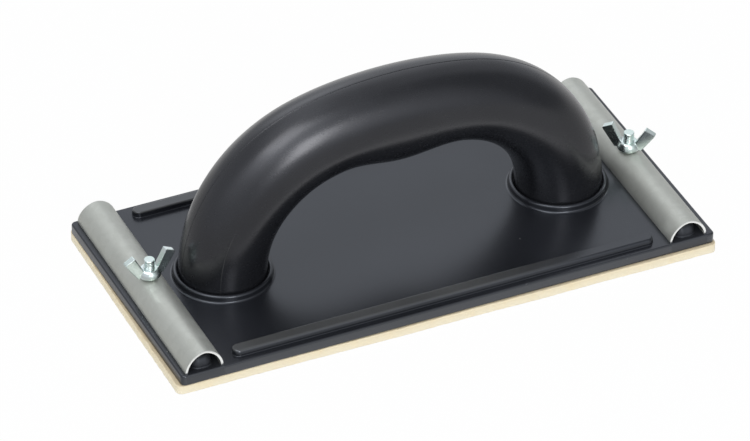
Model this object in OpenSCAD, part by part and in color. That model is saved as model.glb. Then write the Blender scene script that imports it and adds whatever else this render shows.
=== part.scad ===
// Drywall hand sander: a moulded plate with a bow handle, a foam pad and two paper clamps.
// Millimetres. The origin is the middle of the pad's working face, X runs along the plate, Z is up.

/* [Base plate] */
// Length of the plate
plate_l = 231.5; // [216:0.5:260]
// Width of the plate
plate_w = 110.5; // [100:0.5:130]
// Thickness of the plate
plate_t = 4.3; // [4:0.1:8]
// Radius of the plate's corners
plate_corner_r = 2; // [1.5:0.5:8]
// Chamfer along the plate's upper edge
plate_edge = 0.8; // [0.2:0.1:1.5]

/* [Plate ribs] */
// Distance between a side rib's end and the clamp bar beside it
side_rib_gap = 5.75; // [4:0.25:40]
// Width of the side ribs
side_rib_w = 4.5; // [2:0.5:6]
// Height of the side ribs
side_rib_h = 2.5; // [1:0.5:4]
// Distance from the plate's long edge to the middle of the side rib
side_rib_inset = 6.5; // [4.5:0.25:9]
// Width of the saddle rib under each clamp bar
saddle_w = 5.4; // [3:0.2:8]
// Height of the saddle rib
saddle_h = 4; // [2:0.5:5]
// Diameter of the boss round each clamp bolt
saddle_boss_d = 10; // [8:0.5:11]

/* [Handle] */
// Distance from the plate's end to the middle of the handle foot
foot_inset = 42.25; // [40:0.25:53]
// Height of the handle's centreline at its middle, above the plate
handle_rise = 58.9; // [52:0.1:75]
// Width of the grip, across the plate
grip_w = 34.4; // [28:0.2:38]
// Depth of the grip, away from the palm swell
grip_d = 34.6; // [26:0.2:37]
// Width of the legs, below the shoulders
leg_w = 35.2; // [28:0.2:38]
// Depth of the legs, below the shoulders
leg_d = 35; // [24:0.2:37]
// Extra depth of the palm swell under the grip
palm_swell = 5; // [0:0.2:7]
// Length of the palm swell
palm_swell_l = 62; // [30:1:80]
// Slope of the handle where the crown meets the shoulder, in degrees
crown_turn = 12.5; // [8:0.5:20]
// Slope of the handle where the grip's section has become the leg's, in degrees
leg_turn = 50; // [40:1:60]
// Wall of the two handle shells
handle_wall = 3; // [2:0.25:4]
// Diameter of the handle's feet
foot_d = 35.6; // [33:0.2:39]
// Height of the solid floor in each foot
foot_h = 3; // [2:0.5:6]
// Height over which the legs flare out to the feet
foot_flare_h = 52; // [20:1:60]

/* [Handle fixing] */
// Height of the collar round each foot
collar_h = 3; // [2:0.5:6]
// Wall of the collar
collar_wall = 1.9; // [1.5:0.1:3]
// Clearance between a foot and its collar
foot_gap = 0.2; // [0.1:0.05:0.4]
// Thread diameter of the handle screws
screw_d = 4.2; // [3.5:0.1:5]
// Length of the handle screws under the head
screw_l = 16; // [12:1:20]
// Diameter of the screw heads
screw_head_d = 8; // [7:0.2:9]
// Height of the screw heads
screw_head_h = 2.2; // [1.6:0.1:3]
// Length of the cross recess in the screw heads
screw_slot_l = 4.8; // [3:0.2:6]
// Width of the cross recess
screw_slot_w = 1.1; // [0.8:0.1:1.6]
// Depth of the cross recess
screw_slot_h = 1.3; // [0.8:0.1:1.6]
// Length of the screws' point
screw_point_l = 2; // [1:0.5:4]
// Diameter of the flat at the end of the point
screw_point_d = 1; // [0.5:0.1:2]
// Distance between the two screws of one foot
screw_spread = 18; // [13:0.5:20]
// Diameter of the screw bosses in the feet
screw_boss_d = 9; // [8:0.5:10]
// Diameter of the locating pegs between the two shells
peg_d = 4; // [3:0.5:5]
// Length that a locating peg stands out of its shell
peg_l = 4; // [2:0.5:6]
// Wall round each locating peg's socket
peg_wall = 2; // [1.5:0.25:3]

/* [Paper clamps] */
// Outer radius of the half round clamp bars
clamp_r = 8; // [7:0.25:9]
// Straight leg under the half round
clamp_leg = 0.3; // [0.1:0.1:2]
// Wall of the clamp bars
clamp_wall = 1; // [0.8:0.1:1.4]
// Length of the clamp bars
clamp_l = 108; // [90:1:110]
// Distance from the plate's end to the clamp bar's outer foot
clamp_inset = 2.75; // [1:0.25:4]
// Thread diameter of the clamp bolts
bolt_d = 4; // [3:0.5:6]
// Size of the hexagon head across its flats
bolt_head_af = 7; // [6:0.5:10]
// Height of the hexagon head
bolt_head_h = 2.8; // [2.5:0.1:3.8]
// Length of bolt that shows above the wing nut
bolt_out = 3.4; // [1:0.2:8]
// Chamfer at the bolt's end
bolt_chamfer = 0.6; // [0.2:0.1:1]

/* [Wing nuts] */
// Diameter of the nut's hub at its seat
hub_d = 9; // [8:0.2:11]
// Diameter of the hub at its top
hub_top_d = 7.4; // [6.4:0.2:9]
// Height of the hub
hub_h = 4.5; // [3:0.5:6]
// Height of the nut over its wing tips
nut_h = 11; // [8:0.2:13]
// Span over the wing tips
wing_span = 22.6; // [18:0.2:24]
// Thickness of the wings
wing_t = 2.4; // [1.4:0.1:2.8]
// Width of the end face of each wing, measured along the span
wing_tip_run = 4.2; // [2:0.1:5]
// Fall of the end face of each wing, from its inner to its outer corner
wing_tip_drop = 2.2; // [1:0.1:3]
// Height of the wing's lower edge above the seat
wing_lift = 0.6; // [0.2:0.1:1]
// Turn of the left nut about its bolt, in degrees
left_nut_turn = 5; // [-90:1:90]
// Turn of the right nut about its bolt, in degrees
right_nut_turn = -42; // [-90:1:90]

/* [Foam pad] */
// Thickness of the foam pad
pad_t = 4; // [3:0.5:12]
// Overhang of the pad at each end of the plate
pad_end_over = 1.5; // [0:0.25:3]
// Overhang of the pad along each long side of the plate
pad_side_over = 1; // [0:0.25:3]
// Radius of the pad's corners
pad_corner_r = 3; // [1:0.5:8]
// Thickness of the adhesive sheet
glue_t = 0.3; // [0.2:0.1:1]
// Distance from the plate's edge to the adhesive sheet's edge
glue_inset = 1; // [0.5:0.25:3]

/* [Clearances] */
// Clearance round the bolts and screws in the plate
shank_gap = 0.15; // [0.1:0.05:0.3]
// Clearance round and under the heads in their pockets
head_gap = 0.15; // [0.1:0.05:0.3]
// Clearance of a fastener's thread in the piece it is driven into
thread_gap = 0.05; // [0.03:0.01:0.1]
// Clearance round the bolts in the clamp bars
bar_gap = 0.3; // [0.2:0.05:0.4]
// Clearance between the nut's seat and the crest of the bar
seat_gap = 0.15; // [0.1:0.05:0.3]
// Clearance of the locating pegs in their sockets
peg_gap = 0.1; // [0.05:0.05:0.2]

/* [Hidden] */
$fn = 64;

LEFT = -1;
RIGHT = 1;
FRONT = -1;
REAR = 1;
BLACK = "#2b2c31";
GALVANISED = "#b0b2ac";
ZINC = "#cdd3d2";
CREAM = "#f8e6c4";
AMBER = "#d9c79a";

// A little more than nothing, so that a cut runs clear through the face it opens
cut = 1;
// Depth by which ribs and collars run into the plate they are moulded with
root = 0.8;
// Depth by which the handle's sweep runs into its solid feet
weld = 0.5;
// Step by which the sweep stays inside the round feet where the two join
weld_step = 0.1;

// Levels, from the working face up
glue_z = pad_t;
plate_z = glue_z + glue_t;
plate_top = plate_z + plate_t;
bar_crest = plate_top + clamp_leg + clamp_r;
nut_seat = bar_crest + seat_gap;
bolt_top = nut_seat + hub_h + bolt_out;
bolt_seat = plate_z + head_gap + bolt_head_h;
screw_seat = plate_z + head_gap + screw_head_h;
screw_tip = screw_seat + screw_l;

// Places along the plate
bolt_x = plate_l / 2 - clamp_inset - clamp_r;
foot_x = plate_l / 2 - foot_inset;
side_rib_x = bolt_x - clamp_r - side_rib_gap;
side_rib_y = plate_w / 2 - side_rib_inset;
boss_top = screw_tip + handle_wall;

// The handle's centreline is two tangent arcs each side of the middle, and it meets the feet upright.
// The radii of the crown and the shoulder follow from the feet and the rise.
fall = handle_rise - foot_h;
arc_det = sin(crown_turn) * cos(crown_turn) - (1 - sin(crown_turn)) * (1 - cos(crown_turn));
crown_r = (foot_x * cos(crown_turn) - fall * (1 - sin(crown_turn))) / arc_det;
shoulder_r = (fall * sin(crown_turn) - foot_x * (1 - cos(crown_turn))) / arc_det;

// Steps of the sweep along each arc, and round half of the section
crown_steps = 8;
shoulder_steps = 20;
half_steps = 16;
// Slope of the handle at the two outer locating pegs
peg_turn = 50;

// Distance of the centreline from the middle, where the handle slopes by a degrees
function path_x(a) =
    a <= crown_turn ? crown_r * sin(a) :
    path_x(crown_turn) + shoulder_r * (sin(a) - sin(crown_turn));

// Fall of the centreline below the crown, where the handle slopes by a degrees
function path_drop(a) =
    a <= crown_turn ? crown_r * (1 - cos(a)) :
    path_drop(crown_turn) + shoulder_r * (cos(crown_turn) - cos(a));

function path_z(a) = plate_top + handle_rise - path_drop(a);
function path_point(a) = [sign(a) * path_x(abs(a)), 0, path_z(abs(a))];

// Share of the foot's flare left at a height above the plate
function flare(h) = pow(max(0, 1 - h / foot_flare_h), 2);

// Depth of the palm swell at a distance from the middle
function swell(x) = x < palm_swell_l / 2 ? palm_swell * (1 + cos(360 * x / palm_swell_l)) / 2 : 0;

// Share of the way from the grip's section to the leg's, eased over the shoulder
function ease(t) = t * t * (3 - 2 * t);
function leg_share(a) = ease(max(0, min(1, (abs(a) - crown_turn) / (leg_turn - crown_turn))));

// Half width and half depth of the handle at a slope: grip, then leg, then the flare to the foot
foot_half = foot_d / 2 - weld_step;
function blended(grip, leg, a) =
    let (size = grip + (leg - grip) * leg_share(a))
    size + (foot_half - size) * flare(path_z(abs(a)) - plate_top - foot_h);
function half_w(a) = blended(grip_w / 2, leg_w / 2, a);
function half_d(a) = blended(grip_d / 2, leg_d / 2, a);

// One half of the section round the centreline, from the crest to the underside, inset from the skin
function half_section(a, inset, sunk) = [
    for (i = [0:half_steps])
        let (
            t = 180 * i / half_steps,
            depth = half_d(a) + (t > 90 ? swell(path_x(abs(a))) : 0) - inset,
            out = [sin(a), 0, cos(a)] * depth * cos(t)
        )
        path_point(a) - [0, 0, sunk] + out + [0, (half_w(a) - inset) * sin(t), 0]
];

// The closed C of one shell's section: its skin outward, then its inner wall back
function shell_section(a, sunk) = concat(
    half_section(a, 0, sunk),
    [for (i = [half_steps:-1:0]) half_section(a, handle_wall, sunk)[i]]
);

// Slopes of the stations from the middle to one foot, then over the whole handle
half_turns = [
    for (i = [0:crown_steps - 1]) crown_turn * i / crown_steps,
    for (i = [0:shoulder_steps]) crown_turn + (90 - crown_turn) * i / shoulder_steps,
];
turns = concat([for (i = [len(half_turns) - 1:-1:1]) -half_turns[i]], half_turns);
section_size = 2 * (half_steps + 1);

// The swept half tube of the rear shell, between its two feet
module half_tube() {
    rings = concat(
        [shell_section(-90, weld)],
        [for (a = turns) shell_section(a, 0)],
        [shell_section(90, weld)]
    );
    last = len(rings) - 1;
    function at(r, i) = r * section_size + i % section_size;
    sides = [
        for (r = [0:last - 1], i = [0:section_size - 1], f = [
            [at(r, i), at(r, i + 1), at(r + 1, i + 1)],
            [at(r, i), at(r + 1, i + 1), at(r + 1, i)]
        ]) f
    ];
    function inner(i) = section_size - 1 - i;
    first_cap = [
        for (i = [0:half_steps - 1], f = [
            [at(0, i), at(0, inner(i)), at(0, i + 1)],
            [at(0, i + 1), at(0, inner(i)), at(0, inner(i + 1))]
        ]) f
    ];
    last_cap = [
        for (i = [0:half_steps - 1], f = [
            [at(last, i), at(last, i + 1), at(last, inner(i))],
            [at(last, i + 1), at(last, inner(i + 1)), at(last, inner(i))]
        ]) f
    ];
    points = [for (r = rings, p = r) p];
    polyhedron(points, concat(sides, first_cap, last_cap));
}

// One foot of the rear shell: a half round floor with its screw boss
module half_foot(side) {
    translate([side * foot_x, 0, plate_top])
        difference() {
            union() {
                intersection() {
                    cylinder(d = foot_d, h = foot_h);
                    translate([-foot_d, 0, -cut])
                        cube([2 * foot_d, foot_d, foot_h + 2 * cut]);
                }
                translate([0, screw_spread / 2, 0])
                    cylinder(d = screw_boss_d, h = boss_top - plate_top);
            }
            translate([0, screw_spread / 2, -cut])
                cylinder(d = screw_d + 2 * thread_gap, h = screw_tip + thread_gap - plate_top + cut);
        }
}

// A locating boss of the rear shell, from inside its side wall to the seam
module peg_boss(a) {
    translate(path_point(a))
        rotate([-90, 0, 0])
            cylinder(d = peg_d + 2 * peg_wall, h = half_w(a) - handle_wall / 2);
}

module rear_half() {
    half_tube();
    for (side = [LEFT, RIGHT])
        half_foot(side);
    for (a = [-peg_turn, 0, peg_turn])
        peg_boss(a);
}

module handle_front_shell() {
    color(BLACK) {
        mirror([0, 1, 0])
            rear_half();
        for (a = [-peg_turn, 0, peg_turn])
            translate(path_point(a) - [0, peg_d, 0])
                rotate([-90, 0, 0])
                    cylinder(d = peg_d, h = peg_d + peg_l);
    }
}

module handle_rear_shell() {
    color(BLACK)
        difference() {
            rear_half();
            for (a = [-peg_turn, 0, peg_turn])
                translate(path_point(a) - [0, cut, 0])
                    rotate([-90, 0, 0])
                        cylinder(d = peg_d + 2 * peg_gap, h = peg_l + peg_gap + cut);
        }
}

// A flat block with rounded corners, chamfered along its upper edge
module slab(l, w, t, r, edge) {
    hull()
        for (x = [-1, 1], y = [-1, 1])
            translate([x * (l / 2 - r), y * (w / 2 - r), 0]) {
                cylinder(r = r, h = t - edge, $fn = 32);
                cylinder(r = r - edge, h = t, $fn = 32);
            }
}

module side_rib(side) {
    end = side_rib_x - side_rib_w / 2;
    translate([0, side * side_rib_y, plate_top]) {
        translate([-end, -side_rib_w / 2, -root])
            cube([2 * end, side_rib_w, side_rib_h + root]);
        for (x = [-end, end])
            translate([x, 0, -root])
                cylinder(d = side_rib_w, h = side_rib_h + root);
    }
}

// The collar that a handle foot stands in, with a round lip
module collar(side) {
    lip_r = collar_wall / 2;
    inner_r = foot_d / 2 + foot_gap;
    translate([side * foot_x, 0, plate_top])
        rotate_extrude($fn = 96)
            translate([inner_r, 0]) {
                translate([0, -root])
                    square([collar_wall, collar_h - lip_r + root]);
                translate([lip_r, collar_h - lip_r])
                    circle(r = lip_r);
            }
}

// The rib that centres a clamp bar, with the boss for its bolt
module saddle(side) {
    run = plate_w - 2 * plate_edge;
    translate([side * bolt_x, 0, plate_top - root]) {
        translate([-saddle_w / 2, -run / 2, 0])
            cube([saddle_w, run, saddle_h + root]);
        cylinder(d = saddle_boss_d, h = saddle_h + root);
    }
}

module hexagon(af, h) {
    cylinder(d = af / cos(30), h = h, $fn = 6);
}

module base_plate() {
    color(BLACK)
        difference() {
            union() {
                translate([0, 0, plate_z])
                    slab(plate_l, plate_w, plate_t, plate_corner_r, plate_edge);
                for (side = [FRONT, REAR])
                    side_rib(side);
                for (side = [LEFT, RIGHT]) {
                    collar(side);
                    saddle(side);
                }
            }
            for (side = [LEFT, RIGHT]) {
                translate([side * bolt_x, 0, plate_z - cut]) {
                    cylinder(d = bolt_d + 2 * shank_gap, h = plate_t + saddle_h + 2 * cut);
                    hexagon(bolt_head_af + 2 * head_gap, bolt_seat - plate_z + cut);
                }
                for (half = [FRONT, REAR])
                    translate([side * foot_x, half * screw_spread / 2, plate_z - cut]) {
                        cylinder(d = screw_d + 2 * shank_gap, h = plate_t + 2 * cut);
                        cylinder(d = screw_head_d + 2 * head_gap, h = screw_seat - plate_z + cut);
                    }
            }
        }
}

// A screw from below, with a cross recess in its flat head
module handle_screw(side, half) {
    head_z = screw_seat - screw_head_h;
    point_z = screw_tip - screw_point_l;
    color(ZINC)
        translate([side * foot_x, half * screw_spread / 2, 0]) {
            difference() {
                translate([0, 0, head_z])
                    cylinder(d = screw_head_d, h = screw_head_h);
                for (turn = [0, 90])
                    translate([0, 0, head_z])
                        rotate([0, 0, turn])
                            cube([screw_slot_l, screw_slot_w, 2 * screw_slot_h], center = true);
            }
            translate([0, 0, head_z + screw_slot_h])
                cylinder(d = screw_d, h = point_z - head_z - screw_slot_h);
            translate([0, 0, point_z])
                cylinder(d1 = screw_d, d2 = screw_point_d, h = screw_point_l);
        }
}

module left_front_handle_screw() { handle_screw(LEFT, FRONT); }
module left_rear_handle_screw() { handle_screw(LEFT, REAR); }
module right_front_handle_screw() { handle_screw(RIGHT, FRONT); }
module right_rear_handle_screw() { handle_screw(RIGHT, REAR); }

// A flat sheet with rounded corners
module sheet(l, w, t, r) {
    translate([-l / 2 + r, -w / 2, 0])
        cube([l - 2 * r, w, t]);
    translate([-l / 2, -w / 2 + r, 0])
        cube([l, w - 2 * r, t]);
    for (x = [-1, 1], y = [-1, 1])
        translate([x * (l / 2 - r), y * (w / 2 - r), 0])
            cylinder(r = r, h = t);
}

module adhesive_sheet() {
    color(AMBER)
        translate([0, 0, glue_z])
            sheet(plate_l - 2 * glue_inset, plate_w - 2 * glue_inset, glue_t, plate_corner_r);
}

module foam_pad() {
    color(CREAM)
        sheet(plate_l + 2 * pad_end_over, plate_w + 2 * pad_side_over, pad_t, pad_corner_r);
}

// The half round outline of a clamp bar, or of the hollow under it
module arch(r, l) {
    rotate([90, 0, 0])
        cylinder(r = r, h = l, center = true);
    translate([-r, -l / 2, -clamp_leg])
        cube([2 * r, l, clamp_leg]);
}

module clamp_bar(side) {
    color(GALVANISED)
        translate([side * bolt_x, 0, plate_top + clamp_leg])
            difference() {
                arch(clamp_r, clamp_l);
                arch(clamp_r - clamp_wall, clamp_l + 2 * cut);
                translate([-clamp_r - cut, -clamp_l / 2 - cut, -clamp_leg - 2 * clamp_r])
                    cube([2 * clamp_r + 2 * cut, clamp_l + 2 * cut, 2 * clamp_r]);
                cylinder(d = bolt_d + 2 * bar_gap, h = clamp_r + cut);
            }
}

module left_clamp_bar() { clamp_bar(LEFT); }
module right_clamp_bar() { clamp_bar(RIGHT); }

// A bolt up through the plate, with its head let into the underside
module clamp_bolt(side) {
    color(ZINC)
        translate([side * bolt_x, 0, 0]) {
            translate([0, 0, bolt_seat - bolt_head_h])
                hexagon(bolt_head_af, bolt_head_h);
            translate([0, 0, bolt_seat - bolt_head_h / 2])
                cylinder(d = bolt_d, h = bolt_top - bolt_chamfer - bolt_seat + bolt_head_h / 2);
            translate([0, 0, bolt_top - bolt_chamfer])
                cylinder(d1 = bolt_d, d2 = bolt_d - 2 * bolt_chamfer, h = bolt_chamfer);
        }
}

module left_clamp_bolt() { clamp_bolt(LEFT); }
module right_clamp_bolt() { clamp_bolt(RIGHT); }

// One wing in its own plane, from the nut's axis out to the tip
module wing() {
    tip = wing_span / 2;
    outline = [
        [0, wing_lift],
        [hub_d / 2, wing_lift],
        [tip, nut_h - wing_tip_drop],
        [tip - wing_tip_run, nut_h],
        [hub_top_d / 2, hub_h],
        [0, hub_h],
    ];
    rotate([90, 0, 0])
        linear_extrude(wing_t, center = true)
            polygon(outline);
}

module wing_nut(side, turn) {
    color(ZINC)
        translate([side * bolt_x, 0, nut_seat])
            rotate([0, 0, turn])
                difference() {
                    union() {
                        cylinder(d1 = hub_d, d2 = hub_top_d, h = hub_h);
                        wing();
                        rotate([0, 0, 180])
                            wing();
                    }
                    translate([0, 0, -cut])
                        cylinder(d = bolt_d + 2 * thread_gap, h = hub_h + 2 * cut);
                }
}

module left_wing_nut() { wing_nut(LEFT, left_nut_turn); }
module right_wing_nut() { wing_nut(RIGHT, right_nut_turn); }

base_plate();
handle_front_shell();
handle_rear_shell();
left_front_handle_screw();
left_rear_handle_screw();
right_front_handle_screw();
right_rear_handle_screw();
adhesive_sheet();
foam_pad();
left_clamp_bar();
right_clamp_bar();
left_clamp_bolt();
right_clamp_bolt();
left_wing_nut();
right_wing_nut();
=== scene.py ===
# Drywall hand sander: a black bow handle on a ribbed plate, a cream foam pad and two paper clamps
import math

import bmesh
import bpy
from mathutils import Euler, Matrix, Vector, noise


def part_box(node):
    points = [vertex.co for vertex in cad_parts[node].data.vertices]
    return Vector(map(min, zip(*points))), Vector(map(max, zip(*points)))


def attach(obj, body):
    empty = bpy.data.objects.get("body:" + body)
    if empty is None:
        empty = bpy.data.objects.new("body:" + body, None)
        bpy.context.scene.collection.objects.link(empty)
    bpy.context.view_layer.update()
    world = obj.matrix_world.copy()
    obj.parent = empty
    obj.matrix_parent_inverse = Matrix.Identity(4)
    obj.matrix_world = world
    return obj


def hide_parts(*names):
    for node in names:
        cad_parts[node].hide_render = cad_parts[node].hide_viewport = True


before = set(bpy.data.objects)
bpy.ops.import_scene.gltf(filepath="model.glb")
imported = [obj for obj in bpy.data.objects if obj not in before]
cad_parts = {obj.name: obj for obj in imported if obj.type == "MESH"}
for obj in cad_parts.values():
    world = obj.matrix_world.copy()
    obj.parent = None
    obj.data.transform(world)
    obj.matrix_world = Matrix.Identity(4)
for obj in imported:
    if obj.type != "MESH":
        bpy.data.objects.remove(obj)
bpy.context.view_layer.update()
mm = 0.001
sides = {"left": -1, "right": 1}

# places that the pieces are measured from
plateLow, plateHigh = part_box("base_plate")
barLow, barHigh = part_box("right_clamp_bar")
boltLow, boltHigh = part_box("right_clamp_bolt")
screwLow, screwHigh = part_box("right_rear_handle_screw")
padLow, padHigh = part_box("foam_pad")
plateTop = barLow.z  # the bars stand on the plate
barRadius = (barHigh.x - barLow.x) / 2
boltX = (boltLow.x + boltHigh.x) / 2
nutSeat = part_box("right_wing_nut")[0].z
footX = (screwLow.x + screwHigh.x) / 2
screwY = (screwLow.y + screwHigh.y) / 2
print("frame loaded, plate top at", round(plateTop / mm, 2), "mm")


class Wire:
    # a node's socket, so that sums of sockets are written as sums
    def __init__(self, tree, socket=None):
        self.tree = tree
        self.socket = socket

    def node(self, kind, settings=None, sockets=None, out=0):
        made = self.tree.nodes.new(kind)
        for name, value in (settings or {}).items():
            setattr(made, name, value)
        for key, value in (sockets or {}).items():
            if isinstance(value, Wire):
                self.tree.links.new(value.socket, made.inputs[key])
            else:
                made.inputs[key].default_value = value
        return Wire(self.tree, made.outputs[out] if made.outputs else None)

    def out(self, name):
        return Wire(self.tree, self.socket.node.outputs[name])

    def math(self, operation, *others):
        return self.node("ShaderNodeMath", {"operation": operation}, dict(enumerate((self, *others))))

    def flipped(self, operation, other):
        return self.node("ShaderNodeMath", {"operation": operation}, {0: other, 1: self})

    def __add__(self, other):
        return self.math("ADD", other)

    def __radd__(self, other):
        return self.flipped("ADD", other)

    def __sub__(self, other):
        return self.math("SUBTRACT", other)

    def __rsub__(self, other):
        return self.flipped("SUBTRACT", other)

    def __mul__(self, other):
        return self.math("MULTIPLY", other)

    def __rmul__(self, other):
        return self.flipped("MULTIPLY", other)

    def __truediv__(self, other):
        return self.math("DIVIDE", other)

    def __pow__(self, other):
        return self.math("POWER", other)

    def __gt__(self, other):
        return self.math("GREATER_THAN", other)

    def __lt__(self, other):
        return self.math("LESS_THAN", other)

    def __abs__(self):
        return self.math("ABSOLUTE")

    def ease(self, low, high, start=0.0, end=1.0):
        ramp = {"interpolation_type": "SMOOTHSTEP"}
        return self.node("ShaderNodeMapRange", ramp, {0: self, 1: low, 2: high, 3: start, 4: end})

    def mix(self, first, second):
        return self.node("ShaderNodeMix", {"data_type": "RGBA"}, {0: self, 6: first, 7: second}, out=2)

    def axes(self):
        split = self.node("ShaderNodeSeparateXYZ", None, {0: self})
        return split, split.out("Y"), split.out("Z")


# materials: every pattern is laid out in the object's own metres
# a noise is given by its scale, octaves and roughness, and spots by their scale, radius and share

def newMaterial(name):
    material = bpy.data.materials.new(name)
    material.use_nodes = True
    material.node_tree.nodes.clear()
    return material, Wire(material.node_tree)


def objectPlace(start, stretch=(1, 1, 1)):
    place = start.node("ShaderNodeTexCoord", out="Object")
    return start.node("ShaderNodeMapping", None, {"Vector": place, "Scale": stretch})


def speckle(place, scale, octaves, rough=0.5):
    sockets = {0: place, "Scale": scale, "Detail": octaves, "Roughness": rough}
    return place.node("ShaderNodeTexNoise", None, sockets)


def cellular(place, scale, out):
    return place.node("ShaderNodeTexVoronoi", None, {0: place, "Scale": scale}, out)


def spots(place, scale, radius, share):
    # round spots of one size with a soft rim, in a share of the cells
    cells = cellular(place, scale, "Distance")
    chance = place.node("ShaderNodeSeparateColor", None, {0: cells.out("Color")})
    return (1 - cells.ease(radius / 2, radius)) * (chance < share)


def relief(height, depth, strength, under=None):
    sockets = {"Height": height, "Distance": depth, "Strength": strength}
    if under:
        sockets["Normal"] = under
    return height.node("ShaderNodeBump", None, sockets)


def dress(material, start, sockets):
    shader = start.node("ShaderNodeBsdfPrincipled", None, sockets)
    start.node("ShaderNodeOutputMaterial", None, {"Surface": shader})
    return material


handleFinish = {
    "black": (0.0098, 0.0104, 0.0124, 1), "grey": (0.0158, 0.0166, 0.0192, 1), "dustAndHighlight": (0.16, 0.16, 0.15, 1),
    "rough": 0.25, "roughSpread": 0.08, "index": 1.60, "sheen": (0.95, 0.95, 1.0, 1),
    "clouds": (38, 3), "cloudRange": (0.4, 0.7), "cloudTint": 0.6,
    "rubs": (260, 4, 0.6), "rubStretch": (1, 3, 3), "rubRange": (0.55, 0.75), "rubRough": 0.07,
    "specks": (95, 0.035, 0.16), "speckTint": 0.55,
    "grain": (900, 2), "grainDepth": 0.02 * mm, "grainStrength": 0.35,
    "highlightLinePlace": 0.35, "highlightLineWidth": 0.005, "highlightLineTop": 0.30, "highlightLineLow": 0.38,
    "highlightLineTint": 0.12, "highlightLineDepth": 0.08 * mm, "highlightLineStrength": 1.0,
}


def handlePlastic():
    look = handleFinish
    material, start = newMaterial("satinBlackHandle")
    place = objectPlace(start)
    clouds = speckle(place, *look["clouds"])
    rubbed = speckle(objectPlace(start, look["rubStretch"]), *look["rubs"]).ease(*look["rubRange"])
    specks = spots(place, *look["specks"])
    # a faint painted highlight line, with a slight ridge, runs up the left leg and fades below the shoulder
    along, around = start.node("ShaderNodeAttribute", {"attribute_name": "skin"}, out="Vector").axes()[:2]
    line = 1 - abs(around - look["highlightLinePlace"]).ease(0, look["highlightLineWidth"])
    paintedHighlightLine = line * (0 - along).ease(look["highlightLineTop"], look["highlightLineLow"])
    colour = (clouds.ease(*look["cloudRange"]) * look["cloudTint"]).mix(look["black"], look["grey"])
    # painted highlight: the leg's line is lightened with the same grey as the dust specks
    colour = (paintedHighlightLine * look["highlightLineTint"]).mix(colour, look["dustAndHighlight"])
    grain = relief(speckle(place, *look["grain"]), look["grainDepth"], look["grainStrength"])
    return dress(material, start, {
        "Base Color": (specks * look["speckTint"]).mix(colour, look["dustAndHighlight"]),
        "Roughness": look["rough"] + (clouds - 0.5) * look["roughSpread"] + rubbed * look["rubRough"],
        "IOR": look["index"],
        "Specular Tint": look["sheen"],
        "Normal": relief(paintedHighlightLine, look["highlightLineDepth"], look["highlightLineStrength"], grain),
    })


plateFinish = {
    "black": (0.0108, 0.0117, 0.0145, 1), "grey": (0.0180, 0.0193, 0.0236, 1), "wornAndHighlight": (0.20, 0.20, 0.19, 1),
    "rough": 0.24, "roughSpread": 0.08, "index": 1.62, "sheen": (0.86, 0.91, 1.0, 1),
    "clouds": (24, 3), "cloudRange": (0.35, 0.7), "cloudTint": 0.7,
    "specks": (70, 0.03, 0.22), "speckTint": 0.6,
    "grain": (800, 2), "grainDepth": 0.03 * mm, "grainStrength": 0.35,
    "edgeBand": 0.7 * mm, "edgeWear": 0.08,
    "nicks": (300, 3, 0.6), "nickRange": (0.73, 0.81), "nickTint": 0.5, "nickRough": 0.25,
    "crestLow": 1.6 * mm, "crestHigh": 2.4 * mm, "crestBand": 9.0 * mm, "crestFade": 80 * mm,
    "crestHighlight": 0.28, "barRough": 0.3,
}


def platePlastic():
    look = plateFinish
    material, start = newMaterial("mouldedBlackPlate")
    place = objectPlace(start)
    x, y, z = place.axes()
    endward, sideward = abs(x), abs(y)
    clouds = speckle(place, *look["clouds"])
    specks = spots(place, *look["specks"])
    # the outer edge is worn and nicked
    atEnd = endward.ease(plateHigh.x - look["edgeBand"], plateHigh.x)
    atSide = sideward.ease(plateHigh.y - look["edgeBand"], plateHigh.y)
    edge = atEnd.math("MAXIMUM", atSide)
    nicks = edge * speckle(place, *look["nicks"]).ease(*look["nickRange"])
    # painted highlight on the crests of the side ribs, fading towards the right
    crest = z.ease(plateTop + look["crestLow"], plateTop + look["crestHigh"])
    crest *= sideward > plateHigh.y - look["crestBand"]
    crest *= endward < barLow.x
    crest *= 1 - x.ease(0, look["crestFade"])
    # the edge's share is real wear; the crests' share is painted highlight
    wearAndHighlight = crest * (clouds + 0.5) * look["crestHighlight"] + edge * look["edgeWear"]
    colour = (clouds.ease(*look["cloudRange"]) * look["cloudTint"]).mix(look["black"], look["grey"])
    colour = (specks * look["speckTint"]).mix(colour, look["wornAndHighlight"])
    colour = wearAndHighlight.mix(colour, look["wornAndHighlight"])
    underBars = (endward > barLow.x) * (endward < barHigh.x)
    rough = look["rough"] + (clouds - 0.5) * look["roughSpread"] + nicks * look["nickRough"]
    return dress(material, start, {
        "Base Color": (nicks * look["nickTint"]).mix(colour, look["wornAndHighlight"]),
        "Roughness": rough + underBars * look["barRough"],
        "IOR": look["index"],
        "Specular Tint": look["sheen"],
        "Normal": relief(speckle(place, *look["grain"]), look["grainDepth"], look["grainStrength"]),
    })


barFinish = {
    "light": (0.54, 0.55, 0.507, 1), "dark": (0.48, 0.49, 0.447, 1), "chalk": (0.585, 0.595, 0.555, 1),
    "rough": 0.54, "metal": 0.76,
    "spangle": 420, "spangleTint": 0.45, "spangleRough": 0.05,
    "rolls": (900, 2), "rollStretch": (1, 0.06, 1), "rollTint": 0.35, "rollRough": 0.05,
    "rollDepth": 0.02 * mm, "rollStrength": 0.25,
    "bloom": (90, 4, 0.6), "bloomRange": (0.5, 0.8), "bloomTint": 0.4, "bloomMetal": 0.12, "bloomRough": 0.06,
}


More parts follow.
